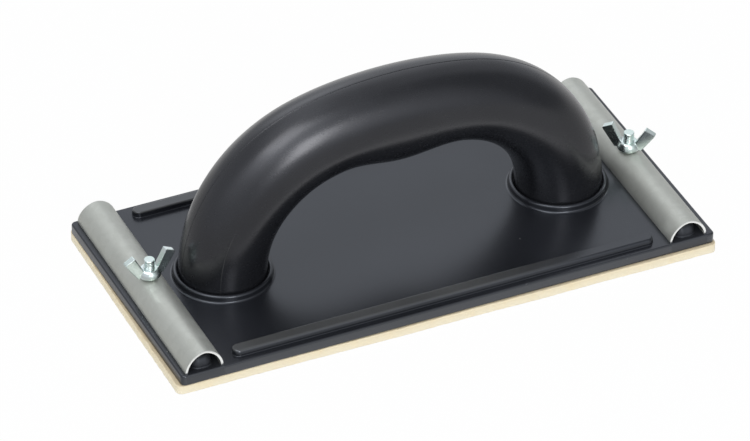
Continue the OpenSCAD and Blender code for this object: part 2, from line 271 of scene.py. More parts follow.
def galvanised():
    look = barFinish
    material, start = newMaterial("galvanisedSheet")
    place = objectPlace(start)
    flakes = start.node("ShaderNodeSeparateColor", None, {0: cellular(place, look["spangle"], "Color")})
    rolled = speckle(objectPlace(start, look["rollStretch"]), *look["rolls"])
    bloom = speckle(place, *look["bloom"]).ease(*look["bloomRange"])
    colour = (flakes * look["spangleTint"] + rolled * look["rollTint"]).mix(look["light"], look["dark"])
    rough = look["rough"] + (flakes - 0.5) * look["spangleRough"] + bloom * look["bloomRough"]
    return dress(material, start, {
        "Base Color": (bloom * look["bloomTint"]).mix(colour, look["chalk"]),
        "Metallic": look["metal"] - bloom * look["bloomMetal"],
        "Roughness": rough + (rolled - 0.5) * look["rollRough"],
        "Normal": relief(rolled, look["rollDepth"], look["rollStrength"]),
    })


cutFinish = {
    "bright": (0.92, 0.93, 0.92, 1), "metal": 0.9, "rough": 0.30, "roughSpread": 0.2,
    "drag": (1400, 2), "dragStretch": (1, 1, 0.15), "dragTint": 0.4,
    "dragDepth": 0.03 * mm, "dragStrength": 0.3,
}


def cutSteel():
    look = cutFinish
    material, start = newMaterial("shearedEdge")
    drag = speckle(objectPlace(start, look["dragStretch"]), *look["drag"])
    return dress(material, start, {
        "Base Color": (drag * look["dragTint"]).mix(look["bright"], barFinish["light"]),
        "Metallic": look["metal"],
        "Roughness": look["rough"] + (drag - 0.5) * look["roughSpread"],
        "Normal": relief(drag, look["dragDepth"], look["dragStrength"]),
    })


zincFinish = {
    "blue": (0.75, 0.82, 0.81, 1), "green": (0.68, 0.79, 0.74, 1), "dull": (0.58, 0.63, 0.62, 1),
    "rough": 0.25, "tint": (180, 2), "tintRange": (0.35, 0.65), "tintRough": 0.06,
    "stain": (420, 3, 0.6), "stainRange": (0.62, 0.9), "stainTint": 0.4, "stainRough": 0.15,
    "grain": (900, 2), "grainDepth": 0.02 * mm, "grainStrength": 0.2,
}


def zincPlate():
    look = zincFinish
    material, start = newMaterial("brightZinc")
    place = objectPlace(start)
    tint = speckle(place, *look["tint"])
    stain = speckle(place, *look["stain"]).ease(*look["stainRange"])
    colour = tint.ease(*look["tintRange"]).mix(look["blue"], look["green"])
    return dress(material, start, {
        "Base Color": (stain * look["stainTint"]).mix(colour, look["dull"]),
        "Metallic": 1.0,
        "Roughness": look["rough"] + stain * look["stainRough"] + (tint - 0.5) * look["tintRough"],
        "Normal": relief(speckle(place, *look["grain"]), look["grainDepth"], look["grainStrength"]),
    })


foamFinish = {
    "pale": (0.98, 0.90, 0.70, 1), "warm": (0.97, 0.82, 0.55, 1), "shadeBrown": (0.42, 0.31, 0.18, 1),
    "rough": 0.86, "roughSpread": 0.12, "gloss": 0.2, "riseTint": 0.5,
    "blotch": (160, 4, 0.6), "blotchRange": (0.4, 0.75), "blotchTint": 0.4,
    "cells": 2600, "cellHeart": 0.35, "poreShade": 0.25, "cellDepth": 0.25 * mm, "cellStrength": 0.6,
    "shadeBand": 0.32 * mm, "shadeWander": 0.5 * mm, "shadeReach": 1.2 * mm, "shadeTint": 0.4,
}


def creamFoam():
    look = foamFinish
    material, start = newMaterial("creamFoam")
    place = objectPlace(start)
    x, y, z = place.axes()
    blotch = speckle(place, *look["blotch"])
    cells = cellular(place, look["cells"], "Distance")
    # painted shade along the top edge under the plate, none where the pad stands out past it
    paintedShade = (z + (blotch - 0.5) * look["shadeWander"]).ease(padHigh.z - look["shadeBand"], padHigh.z)
    paintedShade *= abs(x) < plateHigh.x + look["shadeReach"]
    rise = z.ease(padLow.z, padHigh.z)
    warmth = rise * look["riseTint"] + blotch.ease(*look["blotchRange"]) * look["blotchTint"]
    colour = warmth.mix(look["pale"], look["warm"])
    # painted shade in the hearts of the foam's cells
    colour = cells.ease(0, look["cellHeart"], look["poreShade"], 0).mix(colour, look["warm"])
    return dress(material, start, {
        # painted shade: brown along the pad's top edge where the plate overhangs it
        "Base Color": (paintedShade * look["shadeTint"]).mix(colour, look["shadeBrown"]),
        "Roughness": look["rough"] + blotch * look["roughSpread"],
        "Specular IOR Level": look["gloss"],
        "Normal": relief(cells, look["cellDepth"], look["cellStrength"]),
    })


glueFinish = {
    "amber": (0.60, 0.45, 0.20, 1), "pale": (0.78, 0.66, 0.40, 1), "rough": 0.35, "roughSpread": 0.2,
    "ripple": (220, 3), "rippleRange": (0.35, 0.7), "rippleDepth": 0.1 * mm, "rippleStrength": 0.5,
}


def glueFilm():
    look = glueFinish
    material, start = newMaterial("amberGlue")
    ripple = speckle(objectPlace(start), *look["ripple"])
    return dress(material, start, {
        "Base Color": ripple.ease(*look["rippleRange"]).mix(look["amber"], look["pale"]),
        "Roughness": look["rough"] + ripple * look["roughSpread"],
        "Normal": relief(ripple, look["rippleDepth"], look["rippleStrength"]),
    })


finish = {
    "handle": handlePlastic(), "plate": platePlastic(), "bar": galvanised(), "cut": cutSteel(),
    "zinc": zincPlate(), "foam": creamFoam(), "glue": glueFilm(),
}
print("materials made:", len(finish))


# mesh helpers

clear = 1.0 * mm  # how far a cutter stands past what it cuts
weld = 1e-7  # points nearer than this are one
roundSteps = 12  # to a quarter of a round hole or boss


def newPiece(name, mesh, *materials):
    piece = bpy.data.objects.new(name, mesh)
    bpy.context.scene.collection.objects.link(piece)
    for material in materials:
        piece.data.materials.append(material)
    return piece


def fromBmesh(name, shape, *materials):
    mesh = bpy.data.meshes.new(name)
    shape.to_mesh(mesh)
    shape.free()
    return newPiece(name, mesh, *materials)


def settle(piece):
    # what the modifiers make becomes the piece's plain mesh
    graph = bpy.context.evaluated_depsgraph_get()
    mesh = bpy.data.meshes.new_from_object(piece.evaluated_get(graph))
    piece.modifiers.clear()
    piece.data = mesh
    return piece


def modify(piece, kind, **settings):
    modifier = piece.modifiers.new(kind.lower(), kind)
    for name, value in settings.items():
        setattr(modifier, name, value)


def carve(piece, shape, operation):
    tool = fromBmesh("tool", shape)
    modify(piece, "BOOLEAN", operation=operation, solver="MANIFOLD", object=tool)
    settle(piece)
    bpy.data.objects.remove(tool)


def crisp(piece, angle):
    # smooth rounds beside true flats
    piece.data.shade_smooth()
    piece.data.set_sharp_from_angle(angle=math.radians(angle))
    modify(piece, "WEIGHTED_NORMAL", keep_sharp=True, weight=100)
    settle(piece)


def angles(whole, steps):
    return [whole * step / steps for step in range(steps + 1)]


def skinned(rings, joined=False):
    # quads from each ring to the next
    shape = bmesh.new()
    loops = [[shape.verts.new(point) for point in ring] for ring in rings]
    following = loops[1:] + loops[:1] if joined else loops[1:]
    for low, high in zip(loops, following):
        for i in range(len(low)):
            j = (i + 1) % len(low)
            shape.faces.new((low[i], low[j], high[j], high[i]))
    return shape, loops


def loft(rings, joined=False):
    # a closed solid: capped at both ends, or joined into a ring
    shape, loops = skinned(rings, joined)
    if not joined:
        shape.faces.new(list(reversed(loops[0])))
        shape.faces.new(loops[-1])
    bmesh.ops.remove_doubles(shape, verts=shape.verts, dist=weld)
    bmesh.ops.recalc_face_normals(shape, faces=shape.faces)
    return shape


def circle(x, radius, z, corners):
    turns = angles(2 * math.pi, corners)[:-1]
    return [(x + radius * math.cos(turn), radius * math.sin(turn), z) for turn in turns]


def roundedOutline(centre, halfX, halfY, radius, steps):
    points = []
    for quarter, (signX, signY) in enumerate(((1, 1), (-1, 1), (-1, -1), (1, -1))):
        for step in range(steps + 1):
            turn = math.pi / 2 * (quarter + step / steps)
            x = centre[0] + signX * (halfX - radius) + radius * math.cos(turn)
            y = centre[1] + signY * (halfY - radius) + radius * math.sin(turn)
            points.append((x, y))
    return points


def stack(centre, halfX, halfY, radius, levels, steps=8):
    # a solid of rounded outlines, one at each level, grown or drawn in
    rings = []
    for z, grown in levels:
        outline = roundedOutline(centre, halfX + grown, halfY + grown, radius + grown, steps)
        rings.append([(x, y, z) for x, y in outline])
    return loft(rings)


def roundStack(centre, across, levels):
    return stack(centre, across / 2, across / 2, across / 2, levels, roundSteps)


def footLevels(low, root, foot, steps=4):
    # a root in the plate and a hollow fillet on it
    levels = [(low - root, foot)]
    for turn in angles(math.pi / 2, steps):
        levels.append((low + foot * (1 - math.cos(turn)), foot * (1 - math.sin(turn))))
    return levels


def browLevels(high, brow, steps=4):
    # an upright wall's rounded top
    turns = angles(math.pi / 2, steps)
    return [(high - brow * (1 - math.sin(turn)), brow * (math.cos(turn) - 1)) for turn in turns]


# geometry node trees: sizes go in as named inputs, and a flat sheet is bent into the piece

socketKinds = {int: "NodeSocketInt", float: "NodeSocketFloat", bpy.types.Material: "NodeSocketMaterial"}


def newTree(name, inputs, along, around):
    tree = bpy.data.node_groups.new(name, "GeometryNodeTree")
    for side in ("INPUT", "OUTPUT"):
        tree.interface.new_socket("Geometry", in_out=side, socket_type="NodeSocketGeometry")
    for label, value in inputs.items():
        tree.interface.new_socket(label, in_out="INPUT", socket_type=socketKinds[type(value)])
    start = Wire(tree).node("NodeGroupInput")
    size = {label: start.out(label) for label in inputs}
    grid = {"Size X": 1.0, "Size Y": 1.0, "Vertices X": size[along], "Vertices Y": size[around]}
    return tree, start, size, start.node("GeometryNodeMeshGrid", None, grid)


def endTree(start, geometry):
    smooth = start.node("GeometryNodeSetShadeSmooth", None, {0: geometry})
    whole = start.node("GeometryNodeRealizeInstances", None, {0: smooth})
    coat = {"Geometry": whole, "Material": start.out("material")}
    dressed = start.node("GeometryNodeSetMaterial", None, coat)
    start.node("NodeGroupOutput", None, {0: dressed})


def grow(name, tree, inputs):
    piece = newPiece(name, bpy.data.meshes.new(name))
    nodes = piece.modifiers.new("grow", "NODES")
    nodes.node_group = tree
    for socket in tree.interface.items_tree:
        if socket.name in inputs:
            nodes[socket.identifier] = inputs[socket.name]
    return settle(piece)


# the handle: a flat crown that eases into round shoulders, and an oval section that swells under the palm

handleForm = {
    "bow": {
        "rise": 58.9 * mm, "gripWide": 34.4 * mm, "gripDeep": 34.6 * mm,
        "legWide": 35.2 * mm, "legDeep": 35.0 * mm, "palmSwell": 5.0 * mm, "palmLong": 62.0 * mm,
        "crownTurn": math.radians(12.0), "crownEase": math.radians(8.0), "legTurn": math.radians(50.0),
        "footWide": 35.6 * mm, "footTall": 3.0 * mm, "flareTall": 52.0 * mm,
        "stations": 261, "around": 49,
    },
    "wall": 3.0 * mm, "seam": 0.30 * mm, "seamSteps": 3, "seamTurn": 60, "sharp": 50,
}


def bowArcs(bow):
    # the shoulder's radius, and how much wider the crown's is, that bring the bow to an upright foot
    low, high = bow["crownTurn"] - bow["crownEase"], bow["crownTurn"] + bow["crownEase"]
    reach = (math.cos(low) - math.cos(high)) / (high - low)
    fall = 1 - (math.sin(high) - math.sin(low)) / (high - low)
    wider = (footX - bow["rise"] + bow["footTall"]) / (reach - fall)
    return {"shoulderBend": footX - wider * reach, "crownWider": wider}


def handleTree(inputs):
    tree, start, size, sheet = newTree("bowHandle", inputs, "stations", "around")
    x, y = start.node("GeometryNodeInputPosition").axes()[:2]
    around = y + 0.5
    tailTurn = math.radians(4)  # what the sheet sweeps past the upright becomes the straight foot
    sweep = x * (math.pi + 2 * tailTurn)
    swept = abs(sweep)
    slope = swept.math("MINIMUM", math.pi / 2)
    tail = (swept - slope) * size["footTall"] / tailTurn

    # the centreline: the crown's extra radius runs out between two slopes
    low = size["crownTurn"] - size["crownEase"]
    high = size["crownTurn"] + size["crownEase"]
    span = high - low
    crown = slope.math("MINIMUM", low)
    bend = slope.math("MAXIMUM", low).math("MINIMUM", high)
    left = (high - bend) / span
    reach = crown.math("SINE") + left * bend.math("SINE") - bend.math("COSINE") / span
    reach += low.math("COSINE") / span - low.math("SINE")
    fall = 1 - crown.math("COSINE") - left * bend.math("COSINE") - bend.math("SINE") / span
    fall += low.math("SINE") / span + low.math("COSINE")
    out = size["shoulderBend"] * slope.math("SINE") + size["crownWider"] * reach
    drop = size["shoulderBend"] * (1 - slope.math("COSINE")) + size["crownWider"] * fall + tail
    height = size["rise"] - drop

    # the section
    share = slope.ease(size["crownTurn"], size["legTurn"])
    flare = 1 - (height - size["footTall"]) / size["flareTall"]
    flare = flare.math("MAXIMUM", 0).math("MINIMUM", 1) ** 2
    wide = size["gripWide"] + (size["legWide"] - size["gripWide"]) * share
    wide = (wide + (size["footWide"] - wide) * flare) / 2
    deep = size["gripDeep"] + (size["legDeep"] - size["gripDeep"]) * share
    deep = (deep + (size["footWide"] - deep) * flare) / 2
    turn = around * math.pi
    palm = out.math("MINIMUM", size["palmLong"] / 2) / size["palmLong"] * (2 * math.pi)
    deep += size["palmSwell"] * (1 + palm.math("COSINE")) / 2 * (turn > math.pi / 2)
    lift = deep * turn.math("COSINE")
    place = start.node("ShaderNodeCombineXYZ", None, {
        0: sweep.math("SIGN") * (out + slope.math("SINE") * lift),
        1: size["side"] * wide * turn.math("SINE"),
        2: size["plateTop"] + height + slope.math("COSINE") * lift,
    })

    # the skin keeps its own map, for the painted highlight line on the left leg
    skin = start.node("ShaderNodeCombineXYZ", None, {0: x, 1: around})
    marked = start.node("GeometryNodeStoreNamedAttribute", {"data_type": "FLOAT_VECTOR", "domain": "POINT"},
                        {"Geometry": sheet, "Name": "skin", "Value": skin})
    bowed = start.node("GeometryNodeSetPosition", None, {"Geometry": marked, "Position": place})
    turned = start.node("GeometryNodeFlipFaces", None, {0: bowed, 1: size["side"] < 0})
    endTree(start, turned)
    return tree


def makeHandle():
    form = handleForm
    inputs = {**form["bow"], **bowArcs(form["bow"]), "plateTop": plateTop, "side": 1.0,
              "material": finish["handle"]}
    tree = handleTree(inputs)
    for name, node, side in (("handleFrontShell", "handle_front_shell", -1.0),
                             ("handleRearShell", "handle_rear_shell", 1.0)):
        shell = grow(name, tree, {**inputs, "side": side})
        modify(shell, "SOLIDIFY", thickness=form["wall"], offset=-1, use_even_offset=True)
        modify(shell, "BEVEL", width=form["seam"], segments=form["seamSteps"],
               limit_method="ANGLE", angle_limit=math.radians(form["seamTurn"]))
        settle(shell)
        crisp(shell, form["sharp"])
        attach(shell, "base")
        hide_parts(node)


makeHandle()
print("handle made")


# the plate: side ribs, collars for the feet and saddles under the bars, all one moulding

plateForm = {
    "corner": 2.0 * mm, "cornerSteps": 10, "askew": 0.7 * mm, "topRound": 0.8 * mm,
    "lowRound": 0.2 * mm, "lowSteps": 2, "root": 0.6 * mm, "proud": 0.02 * mm, "sharp": 40,
    "ribWide": 5.6 * mm, "ribTall": 2.5 * mm, "ribInset": 5.95 * mm, "ribGap": 5.75 * mm,
    "ribFoot": 0.25 * mm, "ribFootSteps": 3, "ribBrow": 2.2 * mm, "ribRoll": 1.3 * mm,
    "ribRound": 0.5 * mm, "ribLean": 0.15 * mm, "ribSteps": 10, "ribEndSteps": 8,
    "saddleWide": 9.0 * mm, "saddleTall": 4.6 * mm, "saddleFoot": 0.6 * mm, "saddleRound": 3.4 * mm,
    "saddleEnd": 2.0 * mm, "saddleCorner": 3.5 * mm, "bossAcross": 10.0 * mm,
    "collarInner": 18.0 * mm, "collarWall": 1.9 * mm, "collarTall": 3.0 * mm, "collarFoot": 1.0 * mm,
    "collarSteps": 120, "lipSteps": 10,
    "boltHole": 4.5 * mm, "headPocket": 7.3 * mm, "headDeep": 2.95 * mm,
    "screwHole": 4.5 * mm, "screwPocket": 8.3 * mm, "screwDeep": 2.35 * mm,
}


def collarRings(form, side):
    # a lipped ring with a small fillet where it meets the plate
    lip = form["collarWall"] / 2
    middle, outer = form["collarInner"] + lip, form["collarInner"] + form["collarWall"]
    crest = plateTop + form["collarTall"] - lip
    foot = footLevels(plateTop + form["proud"], form["root"] + form["proud"], form["collarFoot"])
    profile = [(form["collarInner"], plateTop - form["root"])]
    profile += [(outer + grown, z) for z, grown in foot]
    for turn in angles(math.pi, form["lipSteps"]):
        profile.append((middle + lip * math.cos(turn), crest + lip * math.sin(turn)))
    rings = []
    for turn in angles(2 * math.pi, form["collarSteps"])[:-1]:
        rings.append([(side * footX + r * math.cos(turn), r * math.sin(turn), z) for r, z in profile])
    return rings


def drill(plate, centre, across, depth):
    # from the underside up
    levels = [(plateLow.z - clear, 0), (plateLow.z + depth, 0)]
    carve(plate, roundStack(centre, across, levels), "DIFFERENCE")


def ribRings(form, side):
    # steep on the inside, rolled over towards the plate's edge and at the ends
    low, high = plateTop + form["proud"], plateTop + form["ribTall"]
    foot = footLevels(low, form["root"], form["ribFoot"], form["ribFootSteps"])
    levels = [(z, -grown, -grown) for z, grown in foot]
    for turn in angles(math.pi / 2, form["ribSteps"])[1:]:
        z = high - form["ribBrow"] * (1 - math.sin(turn))
        rise = max(0.0, 1 - (high - z) / form["ribRound"])
        inner = form["ribLean"] * (z - low) / form["ribTall"]
        inner += form["ribRound"] * (1 - math.sqrt(1 - rise * rise))
        levels.append((z, inner, form["ribRoll"] * (1 - math.cos(turn))))
    ribX = boltX - barRadius - form["ribGap"]
    rings = []
    for z, inner, outer in levels:
        wide = (form["ribWide"] - inner - outer) / 2
        middle = (0, side * (plateHigh.y - form["ribInset"] + (inner - outer) / 2))
        outline = roundedOutline(middle, ribX - outer / 2, wide, wide, form["ribEndSteps"])
        rings.append([(x, y, z) for x, y in outline])
    return rings


def plateSlab(form):
    low = form["lowRound"]
    levels = [(plateLow.z + low * (1 - math.cos(turn)), -low * (1 - math.sin(turn)))
              for turn in angles(math.pi / 2, form["lowSteps"])]
    levels += browLevels(plateTop, form["topRound"])
    slab = stack((0, 0), plateHigh.x, plateHigh.y, form["corner"], levels, form["cornerSteps"])
    for vertex in slab.verts:  # the ends lie a little askew to the bars
        vertex.co.x += form["askew"] * (1 - vertex.co.y / plateHigh.y) / 2
    return slab


def makePlate():
    form = plateForm
    plate = fromBmesh("basePlate", plateSlab(form), finish["plate"])
    saddleTop = plateTop + form["saddleTall"]
    foot = footLevels(plateTop + form["proud"], form["root"], form["saddleFoot"])
    saddleLevels = foot + browLevels(saddleTop, form["saddleRound"])
    bossLevels = foot + browLevels(saddleTop, form["topRound"])
    saddleX, saddleY = form["saddleWide"] / 2, plateHigh.y - form["saddleEnd"] - form["saddleFoot"]
    for side in sides.values():
        bolt = (side * boltX, 0)
        carve(plate, loft(ribRings(form, side)), "UNION")
        carve(plate, stack(bolt, saddleX, saddleY, form["saddleCorner"], saddleLevels), "UNION")
        carve(plate, roundStack(bolt, form["bossAcross"], bossLevels), "UNION")
        carve(plate, loft(collarRings(form, side), joined=True), "UNION")
        drill(plate, bolt, form["boltHole"], saddleTop - plateLow.z + clear)
        drill(plate, bolt, form["headPocket"] / math.cos(math.pi / 6), form["headDeep"])
        for front in (-1, 1):
            screw = (side * footX, front * screwY)
            drill(plate, screw, form["screwHole"], plateTop - plateLow.z + clear)
            drill(plate, screw, form["screwPocket"], form["screwDeep"])
    crisp(plate, form["sharp"])
    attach(plate, "base")
    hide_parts("base_plate")


makePlate()
print("plate made")


# the clamp bars: half round sheet with sheared ends

barForm = {
    "wall": 1.0 * mm, "leg": 0.3 * mm, "arch": 1.8, "arcSteps": 48,
    "rows": 13,  # odd, so that no row meets the hole's corners
    "edge": 0.16 * mm, "edgeSteps": 2, "edgeTurn": 50, "endFacing": 0.6, "sharp": 40,
    "hole": 4.7 * mm, "holeDeep": 3.0 * mm,
    "sprung": {"left": (0.085, -0.035), "right": (0.01, -0.04)},  # how much taller at the front and rear ends
}


def barRing(form, x, y, sprung):
    # outer arc over the top and the inner arc back
    outer = [(barRadius, -form["leg"])]
    for turn in angles(math.pi, form["arcSteps"]):  # a little sharper than a half circle
        outX = math.copysign(abs(math.cos(turn)) ** (2 / form["arch"]), math.cos(turn))
        outer.append((barRadius * outX, barRadius * abs(math.sin(turn)) ** (2 / form["arch"])))
    outer.append((-barRadius, -form["leg"]))
    inside = (barRadius - form["wall"]) / barRadius
    inner = [(px * inside, pz * inside if pz > 0 else pz) for px, pz in reversed(outer)]
    taller = 1 + sprung[int(y > 0)] * (y / barHigh.y) ** 2
    spring = plateTop + form["leg"]
    return [(x + px, y, spring + (pz * taller if pz > 0 else pz)) for px, pz in outer + inner]


def sheetBar(form, x, sprung):
    rows = form["rows"]
    stations = [barLow.y + (barHigh.y - barLow.y) * row / rows for row in range(rows + 1)]
    shape, loops = skinned([barRing(form, x, y, sprung) for y in stations])
    for loop in (loops[0], loops[-1]):  # the sheared ends
        for i in range(len(loop) // 2 - 1):
            shape.faces.new((loop[i], loop[i + 1], loop[-2 - i], loop[-1 - i]))
    bmesh.ops.recalc_face_normals(shape, faces=shape.faces)
    return shape


def makeBar(name, side):
    form = barForm
    sheet = sheetBar(form, side * boltX, form["sprung"][name])
    bar = fromBmesh(name + "ClampBar", sheet, finish["bar"], finish["cut"])
    levels = [(barHigh.z - form["holeDeep"], 0), (barHigh.z + clear, 0)]
    carve(bar, roundStack((side * boltX, 0), form["hole"], levels), "DIFFERENCE")
    modify(bar, "BEVEL", width=form["edge"], segments=form["edgeSteps"],
           limit_method="ANGLE", angle_limit=math.radians(form["edgeTurn"]))
    settle(bar)
    for face in bar.data.polygons:  # bright where the sheet was sheared
        atEnd = abs(face.center.y) > barHigh.y - 2 * form["edge"]
        face.material_index = int(atEnd and abs(face.normal.y) > form["endFacing"])
    crisp(bar, form["sharp"])
    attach(bar, name + "_clamp")
    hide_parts(name + "_clamp_bar")


for name, side in sides.items():
    makeBar(name, side)
print("clamp bars made")


# the bolts: a rolled thread over the whole shank and a hexagon head under the plate

boltForm = {
    "thread": {
        "pitch": 0.7 * mm, "depth": 0.12 * mm, "radius": 2.18 * mm, "chamfer": 0.2 * mm, "lead": 1.2 * mm,
        "flankLow": 0.12, "flankHigh": 0.85, "weld": 0.001 * mm, "around": 41, "rows": 260,
    },
    "headFlats": 7.0 * mm, "headSides": 6, "headTall": 2.8 * mm, "headRound": 0.5 * mm, "sharp": 40,
}


def threadTree(inputs):
    tree, start, size, sheet = newTree("rolledThread", inputs, "rows", "around")
    x, y = start.node("GeometryNodeInputPosition").axes()[:2]
    along = (x + 0.5) * (size["rows"] - 1)
    turn = y * (2 * math.pi)
    # the first and last rows close the ends
    z = (along - 1).math("MAXIMUM", 0) / (size["rows"] - 3)
    z = size["low"] + z.math("MINIMUM", 1) * (size["high"] - size["low"])
    wave = (z / size["pitch"] - turn / (2 * math.pi)).math("FRACT")
    ridge = abs(wave * 2 - 1).ease(size["flankLow"], size["flankHigh"])
    fade = z.ease(size["high"] - size["lead"], size["high"])
    radius = size["radius"] - size["depth"] * (1 - ridge) * (1 - fade)
    blunt = (z - (size["high"] - size["chamfer"])).math("MAXIMUM", 0)
    radius = radius.math("MINIMUM", size["radius"] - blunt)
    radius *= (along > 0.5) * (along < size["rows"] - 1.5)
    place = start.node("ShaderNodeCombineXYZ", None, {
        0: size["x"] + radius * turn.math("COSINE"), 1: radius * turn.math("SINE"), 2: z,
    })
    turned = start.node("GeometryNodeSetPosition", None, {"Geometry": sheet, "Position": place})
    welded = {"Geometry": turned, "Distance": size["weld"]}
    endTree(start, start.node("GeometryNodeMergeByDistance", None, welded))
    return tree


def makeBolts():
    form = boltForm
    headTop = boltLow.z + form["headTall"]
    inputs = {**form["thread"], "low": headTop - form["headRound"], "high": boltHigh.z, "x": boltX,
              "material": finish["zinc"]}
    tree = threadTree(inputs)
    corner = form["headFlats"] / 2 / math.cos(math.pi / form["headSides"])
    levels = [(boltLow.z, -form["headRound"]), (boltLow.z + form["headRound"], 0), (headTop, 0)]
    for name, side in sides.items():
        bolt = grow(name + "ClampBolt", tree, {**inputs, "x": side * boltX})
        shape = bmesh.new()
        shape.from_mesh(bolt.data)
        bmesh.ops.recalc_face_normals(shape, faces=shape.faces)
        bmesh.ops.triangulate(shape, faces=shape.faces)  # so the join with the head leaves no slivers
        shape.to_mesh(bolt.data)
        shape.free()
        head = [circle(side * boltX, corner + grown, z, form["headSides"]) for z, grown in levels]
        carve(bolt, loft(head), "UNION")
        crisp(bolt, form["sharp"])
        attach(bolt, "base")
        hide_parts(name + "_clamp_bolt")


makeBolts()
print("bolts made")


# the wing nuts: a hub with two raised wings, cast in one and plated; worked in millimetres

nutForm = {
    "hub": ((0.0, 4.0), (0.5, 4.6), (1.1, 4.75), (2.2, 4.4), (3.3, 3.8), (3.8, 3.2)), "hubSteps": 48,
    "wing": ((1.5, 0.6), (5.6, 0.6), (11.2, 8.8), (6.9, 11.0), (3.3, 4.3), (2.8, 3.7), (1.5, 3.7)),
    "wingThick": 3.0, "tipThick": 2.5, "tipFrom": 7.0, "tipRound": 0.6, "tipSteps": 3,
    "voxel": 0.18, "smoothing": 0.5, "smoothRounds": 3, "bore": 4.46, "sharp": 40,
    "turns": {"left": 5, "right": -42},
}


def wingBlade(form, side):
    tip = max(x for x, z in form["wing"])
    rings = []
    for face in (-1, 1):
        ring = []
        for x, z in form["wing"]:
            thick = form["wingThick"] + (form["tipThick"] - form["wingThick"]) * x / tip
            ring.append((side * x, face * thick / 2, z))
        rings.append(ring)
    shape, loops = skinned(rings)
    for loop in loops:
        shape.faces.new(loop)
    bmesh.ops.recalc_face_normals(shape, faces=shape.faces)
    rims = [shape.edges.get(pair) for pair in zip(*loops)]
    tips = [rim for rim in rims if max(abs(vertex.co.x) for vertex in rim.verts) > form["tipFrom"]]
    bmesh.ops.bevel(shape, geom=tips, offset=form["tipRound"], segments=form["tipSteps"], profile=0.5,
                    affect="EDGES")
    return shape


def makeNut(name, side):
    form = nutForm
    hub = [circle(0, radius, z, form["hubSteps"]) for z, radius in form["hub"]]
    nut = fromBmesh(name + "WingNut", loft(hub), finish["zinc"])
    for wing in (-1, 1):
        carve(nut, wingBlade(form, wing), "UNION")
    modify(nut, "REMESH", mode="VOXEL", voxel_size=form["voxel"])
    modify(nut, "SMOOTH", factor=form["smoothing"], iterations=form["smoothRounds"])
    settle(nut)
    past = clear / mm
    levels = [(-past, 0), (form["hub"][-1][0] + past, 0)]
    carve(nut, roundStack((0, 0), form["bore"], levels), "DIFFERENCE")
    turn = Matrix.Rotation(math.radians(form["turns"][name]), 4, "Z")
    nut.data.transform(Matrix.Translation((side * boltX, 0, nutSeat)) @ turn @ Matrix.Scale(mm, 4))
    crisp(nut, form["sharp"])
    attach(nut, name + "_nut")
    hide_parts(name + "_wing_nut")


for name, side in sides.items():
    makeNut(name, side)
print("wing nuts made")


# the foam pad: a sheet cut by hand, so its edge wanders a little

padForm = {
    "corner": 3.0 * mm, "cornerSteps": 8, "pitch": 0.9 * mm, "levels": 9,
    "round": 0.45 * mm, "waist": 0.12 * mm, "inset": 0.35 * mm,
    "ragged": 0.16 * mm, "raggedScale": 420, "wander": 0.30 * mm, "wanderScale": 28,
    "skew": -0.4, "shift": 0.6 * mm, "sharp": 60,
}


def walk(outline, pitch):
    # the same closed outline in even steps
    points = [Vector(point) for point in outline]
    points.append(points[0])
    spans = [(b - a).length for a, b in zip(points, points[1:])]
    count = int(sum(spans) / pitch)
    step = sum(spans) / count
    even = []
    index, gone = 0, 0.0
    for k in range(count):
        while gone + spans[index] < k * step:
            gone += spans[index]
            index += 1
        even.append(points[index].lerp(points[index + 1], (k * step - gone) / spans[index]))
    return even


def padRing(form, even, share, z):
    # rounded at both faces, drawn in a little at the middle, and never quite straight
    fromFace = min(share, 1 - share) * (padHigh.z - padLow.z)
    curl = max(0.0, 1 - fromFace / form["round"])
    grown = -form["inset"] - form["round"] * (1 - math.sqrt(1 - curl * curl))
    grown -= form["waist"] * math.sin(math.pi * share)
    ring = []
    for i, point in enumerate(even):
        ahead = even[(i + 1) % len(even)] - even[i - 1]
        outward = Vector((ahead.y, -ahead.x)).normalized()
        spot = Vector((point.x, point.y, z))
        rough = form["ragged"] * noise.noise(spot * form["raggedScale"])
        rough += form["wander"] * noise.noise(Vector((point.x, point.y, 0)) * form["wanderScale"])
        ring.append((*(point + outward * (grown + rough)), z))
    return ring


def makePad():
    form = padForm
    outline = roundedOutline((0, 0), padHigh.x, padHigh.y, form["corner"], form["cornerSteps"])
    even = walk(outline, form["pitch"])
    rings = []
    for turn in angles(math.pi, form["levels"] - 1):
        share = (1 - math.cos(turn)) / 2
        rings.append(padRing(form, even, share, padLow.z + share * (padHigh.z - padLow.z)))
    pad = fromBmesh("foamPad", loft(rings), finish["foam"])
    skew = Matrix.Rotation(math.radians(form["skew"]), 4, "Z")
    pad.data.transform(Matrix.Translation((form["shift"], 0, 0)) @ skew)
    crisp(pad, form["sharp"])
    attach(pad, "base")
    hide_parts("foam_pad")


makePad()
print("foam pad made")


# CAD nodes that stay: the screws in the feet and the film under the plate

def keepNode(node, material):
    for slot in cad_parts[node].material_slots:
        slot.material = material


for side in sides:
    for half in ("front", "rear"):
        keepNode(f"{side}_{half}_handle_screw", finish["zinc"])
keepNode("adhesive_sheet", finish["glue"])
print("screws and film dressed")


# the stage: a white sweep, a studio for the gloss to show, and soft boxes high on the left and in front

stageLook = {
    "floorHalf": 40.0, "floorGap": 0.02 * mm, "floorColour": (0.95, 0.95, 0.95, 1), "glow": 0.97,
    "mirroredNear": 1.12, "mirroredFar": 0.52, "nearReach": 0.010, "farReach": 0.034,
}
skyLook = {"ambient": 0.58, "room": 0.58, "tint": (0.97, 1.0, 1.05, 1), "backdrop": (1, 1, 1, 1)}
